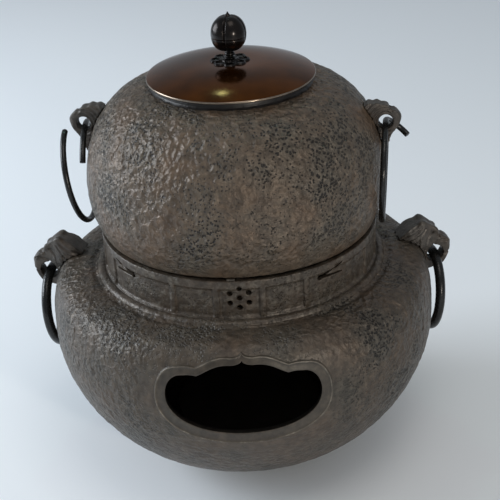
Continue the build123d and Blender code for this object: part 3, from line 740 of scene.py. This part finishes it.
kettle_inner_line = joined(
    spaced(swell(kettle_inner_widest, kettle_inner_crown, kettle_fullness)[::-1], 6),
    spaced(skirt(kettle_inner_widest, kettle_inner_ledge)[::-1], 6),
    [kettle_inner_ledge, kettle_inner_lower],
    spaced(swell(kettle_inner_lower, kettle_floor, kettle_lower_fullness), 6),
    [kettle_floor, (kettle_flat, kettle_floor[1])])


def kettle_roughness(places):
    """How rough the kettle's cast skin is: coarse on the shoulder, smoother down to the ledge."""
    z = places[..., 2]
    patches = 0.9 + 0.45 * noise_over(places, kettle_patch, 1, 5.3)
    return np.clip(patches * (0.3 + 0.7 * eased(z, *smooth_below)), 0, 1)


kettle_turns = even_turns(kettle_columns)
plain_kettle = turned(kettle_skin_line, kettle_turns)
rough_kettle = kettle_roughness(plain_kettle)
kettle_lumps = lumps(plain_kettle, rough_kettle, kettle_lump_depth)
kettle_parts = [turned(kettle_lower_line[:-1], kettle_turns), turned(kettle_skin_line, kettle_turns, kettle_lumps)]
kettle_marks = [np.full(kettle_parts[0].shape[:2], lower_roughness), rough_kettle]
kettle = skin("kettle_shell", np.concatenate(kettle_parts), caps=(True, False),
              marks={"rough_skin": np.concatenate(kettle_marks)})
# The kettle's skin is lighter and warmer than the bowl's. Its collar and inside are smooth and painted near
# black, partly as painted shade under the lid.
kettle_iron = cast_iron("cast_iron_grey_brown_skin", "#5f4e3e", "#5a5247", "#1a1410", 1.8)
collar_start = kettle_parts[1][-1:]
collar_rows = [collar_start, turned(collar_line, kettle_turns), turned(kettle_inner_line, kettle_turns)]
collar = skin("kettle_collar_and_inside", np.concatenate(collar_rows), caps=(False, True))
# Painted shade: the near-black collar stands partly for the shade under the lid's edge.
collar_shade_iron = cast_iron("plain_dark_cast_iron_painted_shade", "#1c1917", "#221e1b", "#0e0c0a", 0.8, rough=0.15)
finish(kettle, "kettle", kettle_iron, "kettle_body")
finish(collar, "kettle", collar_shade_iron, "kettle_body")

# Kettle lugs: a curled iron leaf at each side, cast apart and pegged into the shoulder. Ribs run round its bore,
# and its tip is a small bud that stands out over the ring.
kettle_hinge = (127.0, 308.0)
kettle_turn = -6.0
leaf_voxel, leaf_softness = 0.5, 5
rib_middle, rib_ring, rib_width, rib_depth = 2.7, 6.6, 3.6, 0.5
# Their middles outward and up, how far they reach and how much they rise.
leaf_bud, leaf_notch = (9.5, 6, 6.0, 0.9), (4.5, 14.5, 3.2, -1.5)


def leaf_relief(u, v, w):
    """Push out of the surface of a leaf; u runs outward, v sideways and w up from the ring's hinge."""
    from_bore = np.hypot(u, w - rib_middle)
    ribs = rib_depth * np.cos((from_bore - rib_ring) * 2 * pi / rib_width)
    ribs = ribs * eased(from_bore, 6.3, 7.5) * (1 - eased(u, 2, 5))
    bud_u, bud_w, bud_reach, bud_rise = leaf_bud
    notch_u, notch_w, notch_reach, notch_rise = leaf_notch
    bulge = bud_rise * hump(np.sqrt((u - bud_u) ** 2 + v ** 2 + (w - bud_w) ** 2), bud_reach)
    return ribs + bulge + notch_rise * hump(np.hypot(u - notch_u, w - notch_w), notch_reach)


for side, turn in (("right", 0), ("left", 180)):
    node = "kettle_lug_" + side
    leaf = sculpted("leaf_lug_" + side, node, radians(kettle_turn + turn), kettle_hinge, leaf_voxel, leaf_relief,
                    leaf_softness)
    finish(leaf, "kettle", lug_iron, node)

# Kettle rings: loose open rings of 5 mm round iron, forged black, each sprung through its lug's bore with its
# free end bent outward. They lift the hot kettle and are taken out while it boils.
kettle_ring_radius, kettle_wire = 42.5, 2.6
# Degrees from each ring's top toward the front; hangs are its turn about the upright and its lean.
left_ring_angles, left_bend_angle, left_bend_tilt = (-58, 153), 195, 11.5
right_ring_angles, right_bend_angle, right_bend_tilt, right_bend_radius = (-7, 320), 120, 50, 16.0
left_hang, right_hang = (6, 1), (-1.8, -1.5)


def bent_away(radius, at, bend_radius, angles, tilt):
    """End of a hung ring that leaves its plane outward: an arc that starts at a place on the ring."""
    arc = [Vector((0, -bend_radius * sin(radians(a)), bend_radius * (cos(radians(a)) - 1))) for a in angles]
    pose = (Matrix.Translation((0, 0, -radius)) @ Matrix.Rotation(radians(at), 4, "X")
            @ Matrix.Translation((0, 0, radius)) @ Matrix.Rotation(radians(-tilt), 4, "Y"))
    return [tuple(pose @ p) for p in arc]


left_path = (hung_ring(kettle_ring_radius, np.linspace(*left_ring_angles, 94))
             + bent_away(kettle_ring_radius, left_ring_angles[1], kettle_ring_radius,
                         np.linspace(0, left_bend_angle, 86)[1:], left_bend_tilt))
right_path = (bent_away(kettle_ring_radius, right_ring_angles[0], right_bend_radius,
                        np.linspace(-right_bend_angle, 0, 36)[:-1], right_bend_tilt)
              + hung_ring(kettle_ring_radius, np.linspace(*right_ring_angles, 140)))
for side, turn, path, yaw_lean in (("right", 0, right_path, right_hang), ("left", 180, left_path, left_hang)):
    hung = hang(path, kettle_hinge, kettle_turn + turn, *yaw_lean)
    ring = bar("kettle_ring_" + side + "_bar", hung, kettle_wire, False, 22)
    finish(ring, side + "_kettle_ring", black_iron, "kettle_ring_" + side)

# Singing plates: three thin iron plates stuck to the kettle's floor, which make the boiling water sing. They lie
# under water and rust, in brown-orange blooms on dark iron.
rust, tree, shader, place = new_material("rusted_iron_plate")
blooms = spots(tree, place, 8, 5.0, 0.65)
plug(tree, shader, 0.0, Base_Color=mixed(tree, mapped(tree, blooms, 0.42, 0.6), "#2a2420", "#6b3d22"),
     Roughness=0.85, Normal=bumped(tree, blooms, 0.3))
dress("singing_plates", rust)

# Lid: cast and turned bronze, domed, with a level top for the knob and a thin rounded edge. It is polished and
# then patinated copper-brown, so it mirrors softly; its edge is painted in paler bronze as a painted highlight.
lid_flat, lid_edge_radius, lid_top, lid_edge_top = 18.5, 70.0, 363.5, 353.1
lid_thickness, lid_inner, lid_bore, lid_under, lid_bore_low = 2.2, 57.6, 2.2, 351.3, 9.8
rim_inside, rim_low = 69.3, 351.2


def dome(drop, steps):
    """Lid's arc in section, from its level top to its edge."""
    run, fall = lid_edge_radius - lid_flat, lid_top - lid_edge_top
    radius = (run ** 2 + fall ** 2) / (2 * fall)
    turns = np.linspace(0, asin(run / radius), steps)
    return np.stack([lid_flat + radius * np.sin(turns), lid_top - drop - radius * (1 - np.cos(turns))], axis=1)


outer_dome, inner_dome = dome(0, 44), dome(lid_thickness, 44)
lid_line = joined(
    [(lid_bore, collar_z + lid_bore_low), (lid_bore, lid_top), (10.0, lid_top), (lid_flat, lid_top)],
    outer_dome[:-1],
    [outer_dome[-2], (69.55, 353.2), (69.85, 352.95), (70.0, 352.55), (70.0, 351.85), (69.8, 351.45),
     (69.4, lid_under), (66.0, lid_under), (lid_inner + 0.3, lid_under), (lid_inner, 351.5)],
    [(lid_inner, 351.5), (lid_inner, 354.2)], inner_dome[inner_dome[:, 0] < lid_inner][::-1],
    [(lid_flat, lid_top - lid_thickness), (lid_bore, lid_top - lid_thickness)])
lid_rows = turned(lid_line[::-1], even_turns(240))
rim_rows = [k for k, (radius, height) in enumerate(lid_line[::-1]) if radius > rim_inside and height > rim_low]
rim = skin("lid_rim", lid_rows[rim_rows[0]:rim_rows[-1] + 1])
lid = skin("lid_dome", np.concatenate([lid_rows[rim_rows[-1]:], lid_rows[:rim_rows[0] + 1]]))

bronze, tree, shader, place = new_material("patinated_bronze")
specks = spots(tree, place, 1.4, 2.0)
clouds = mapped(tree, spots(tree, place, 42, 3.0), 0.35, 0.65)
plug(tree, shader, 0.9, Base_Color=mixed(tree, clouds, "#482708", "#6c3c10"),
     Roughness=mapped(tree, specks, 0.3, 0.7, 0.1, 0.17), Normal=bumped(tree, specks, 0.02))
finish(lid, "lid", bronze, "lid_plate")

# Painted highlight: the edge is painted in paler, duller bronze, so a light line runs round the lid.
rim_highlight_bronze, tree, shader, place = new_material("bronze_painted_rim_highlight")
rim_glint = spots(tree, place, 9, 4.0)
plug(tree, shader, 1.0, Base_Color=mixed(tree, rim_glint, "#6a5a4c", "#a29688"),
     Roughness=mapped(tree, rim_glint, 0.3, 0.7, 0.16, 0.3))
finish(rim, "lid", rim_highlight_bronze, "lid_plate")
dress("lid_inner_ring", bronze)

# Knob's seat: a rosette of eight raised petals with a small hub, cast in bronze and let down onto the lid's level
# top. Its black patina has a dull sheen and is worn to brown in patches.
petal_ring, petal_radius, petal_rim, hub_radius = 11.3, 5.2, 1.1, 7.5
rosette_base, rosette_rise, rosette_limit, hub_rise, hub_bead_rise = 363.5, 0.35, 2.35, 1.35, 0.7
rosette_turns = even_turns(192)
petal_turns = (rosette_turns + pi / 8) % (pi / 4) - pi / 8
petal_aside = petal_ring * np.sin(petal_turns)
rosette_edge = petal_ring * np.cos(petal_turns) + np.sqrt(petal_radius ** 2 - petal_aside ** 2)
seat_rows = []
for share in np.concatenate([[1.0, 1.0], np.linspace(1, 0.14, 40)]):
    radius = rosette_edge * share
    across = radius * np.sin(petal_turns)
    from_petal = np.hypot(radius * np.cos(petal_turns) - petal_ring, across)
    petal_edge = hump(from_petal - petal_radius + 0.9, 1.0)
    hub = eased(hub_radius + 0.5 - radius, 0, 1.2)
    hub_bead = hump(radius - hub_radius + 1.2, 1.1)
    height = rosette_rise + petal_rim * petal_edge * (1 - hub) + hub * (hub_rise + hub_bead_rise * hub_bead)
    seat_rows.append([(r * cos(a), r * sin(a), rosette_base + min(h, rosette_limit))
                      for r, a, h in zip(radius, rosette_turns, height)])
seat_rows[0] = [(x, y, rosette_base) for x, y, z in seat_rows[0]]
seat = skin("knob_rosette", np.array(seat_rows), caps=(False, True))

black_bronze, tree, shader, place = new_material("black_patinated_bronze")
rubs = spots(tree, place, 6, 4.0)
plug(tree, shader, 0.8, Base_Color=mixed(tree, rubs, "#17181a", "#2b2521"),
     Roughness=mapped(tree, rubs, 0.3, 0.7, 0.15, 0.3))
finish(seat, "lid", black_bronze, "knob_seat")

# Knob's stem: a turned neck with a bead, in the same black bronze, drawn through the seat and the lid and riveted
# over a washer below.
stem_line = [(2.15, 358.9), (2.15, 365.0), (4.6, 365.9), (4.9, 366.3), (4.4, 366.8), (3.2, 367.2), (2.9, 367.6),
             (3.3, 368.0), (4.0, 368.5), (4.2, 369.4), (4.0, 370.3), (3.3, 370.9), (2.9, 371.4), (3.0, 372.0),
             (3.6, 372.6), (4.2, 373.2), (2.0, 373.4)]
stem = skin("knob_neck", turned(spaced(stem_line, 0.35), even_turns(64)), caps=(True, True))
rivet_line = [(2.0, 358.7), (3.4, 358.7), (3.6, 358.9), (3.6, 359.9), (3.4, 360.1), (2.0, 360.1)]
rivet = skin("knob_rivet", turned(rivet_line, even_turns(48)), caps=(True, True))
for piece in (stem, rivet):
    finish(piece, "lid", black_bronze, "knob_stem")
dress("knob_washer", black_bronze)

# Knob: a hollow bronze bud of four lobes that ends in a small ogee tip, with a line turned round it a third of
# the way up. Black patina, polished by the hand, with sharp grooves between the lobes.
bud_foot_z, bud_top_z, bud_widest_share, bud_fullness = 373.0, 401.2, 0.46, 0.58
bud_lobe_radius, bud_foot_radius, bud_lobe_offset, bud_turn = 12.7, 3.3, 2.2, -60.0
groove_depth, groove_width, groove_fade = 1.5, 0.75, 4.0
line_z, line_depth, line_reach = 384.0, 0.45, 0.55
ogee_z, ogee_height, ogee_radius, ogee_end = 398.9, 5.5, 4.6, 0.35
bud_tip = ((401.6, 2.1), (402.1, 1.65), (402.7, 1.2), (403.3, 0.8), (403.9, 0.5), (404.38, 0.2))
bud_middle = bud_foot_z + bud_widest_share * (bud_top_z - bud_foot_z)
lobe_low = swell((bud_lobe_radius, bud_middle), (bud_foot_radius, bud_foot_z), bud_fullness)[::-1]
lobe_high = swell((bud_lobe_radius, bud_middle), (0.0, bud_top_z), bud_fullness)
lobe_line = spaced(joined(lobe_low, lobe_high), 0.45)
bud_turns = even_turns(224)
from_lobe = (bud_turns - radians(bud_turn) + pi / 4) % (pi / 2) - pi / 4
bud_rows = []
for radius, height in lobe_line:
    share = min(1.0, radius / groove_fade)
    offset = bud_lobe_offset * share
    reach = offset * np.cos(from_lobe) + np.sqrt(np.maximum(radius ** 2 - (offset * np.sin(from_lobe)) ** 2, 0))
    groove_gap = reach * (pi / 4 - np.abs(from_lobe))
    reach = reach - groove_depth * share * np.exp(-(groove_gap / groove_width) ** 2)
    reach = reach - line_depth * hump(height - line_z, line_reach)
    tip = ogee_end + ogee_radius * (1 - (height - ogee_z) / ogee_height) ** 1.5 if height > ogee_z else 0.0
    reach = np.maximum(reach, tip)
    bud_rows.append([(r * cos(a), r * sin(a), height) for r, a in zip(reach, bud_turns)])
for height, radius in bud_tip:
    bud_rows.append([(radius * cos(a), radius * sin(a), height) for a in bud_turns])
bud = skin("knob_bud_lobes", np.array(bud_rows), caps=(True, True))
finish(bud, "lid", black_bronze, "knob_bud")

# Studio: a plain matte white floor that is no part of the object, a pale surround and four soft lights. A broad
# one stands at the left, a small one at the right front gives the glints, a weak one hangs above, and a faint
# cool one behind draws the lid's far edge.
floor_half = 4.0
floor_corners = [(-floor_half, -floor_half, 0), (floor_half, -floor_half, 0), (floor_half, floor_half, 0),
                 (-floor_half, floor_half, 0)]
floor_mesh = bpy.data.meshes.new("floor")
floor_mesh.from_pydata(floor_corners, [], [(0, 1, 2, 3)])
floor = bpy.data.objects.new("floor", floor_mesh)
scene.collection.objects.link(floor)
white, tree, shader, place = new_material("white_floor")
shader.inputs["Base Color"].default_value = colour("#f1f5f8")
shader.inputs["Roughness"].default_value = 0.9
floor.data.materials.append(white)

scene.view_settings.view_transform = "Standard"
world = bpy.data.worlds.new("studio")
world.use_nodes = True
world.node_tree.nodes["Background"].inputs["Color"].default_value = colour("#dfe6ee")
world.node_tree.nodes["Background"].inputs["Strength"].default_value = 0.42
scene.world = world


def lamp(name, place, target, size, power, tint):
    """Soft rectangular light that faces a target."""
    data = bpy.data.lights.new(name, "AREA")
    data.shape = "RECTANGLE"
    data.size, data.size_y = size
    data.energy = power
    data.color = colour(tint)[:3]
    light = bpy.data.objects.new(name, data)
    light.location = place
    light.rotation_euler = (Vector(target) - Vector(place)).to_track_quat("-Z", "Y").to_euler()
    scene.collection.objects.link(light)


lamp("window_light", (-1.85, 0.3, 0.9), (0, 0, 0.2), (1.2, 1.0), 38, "#ecf5ff")
lamp("door_light", (0.735, -1.31, 0.5), (0, 0, 0.25), (0.1, 0.14), 6, "#fff6ea")
lamp("ceiling_light", (0.3, -0.6, 2.1), (0, 0, 0.2), (1.0, 1.0), 7, "#fff8f0")
lamp("back_light", (-0.12, 0.84, 1.67), (0, -0.06, 0.36), (0.08, 0.08), 0.5, "#b8ffe6")
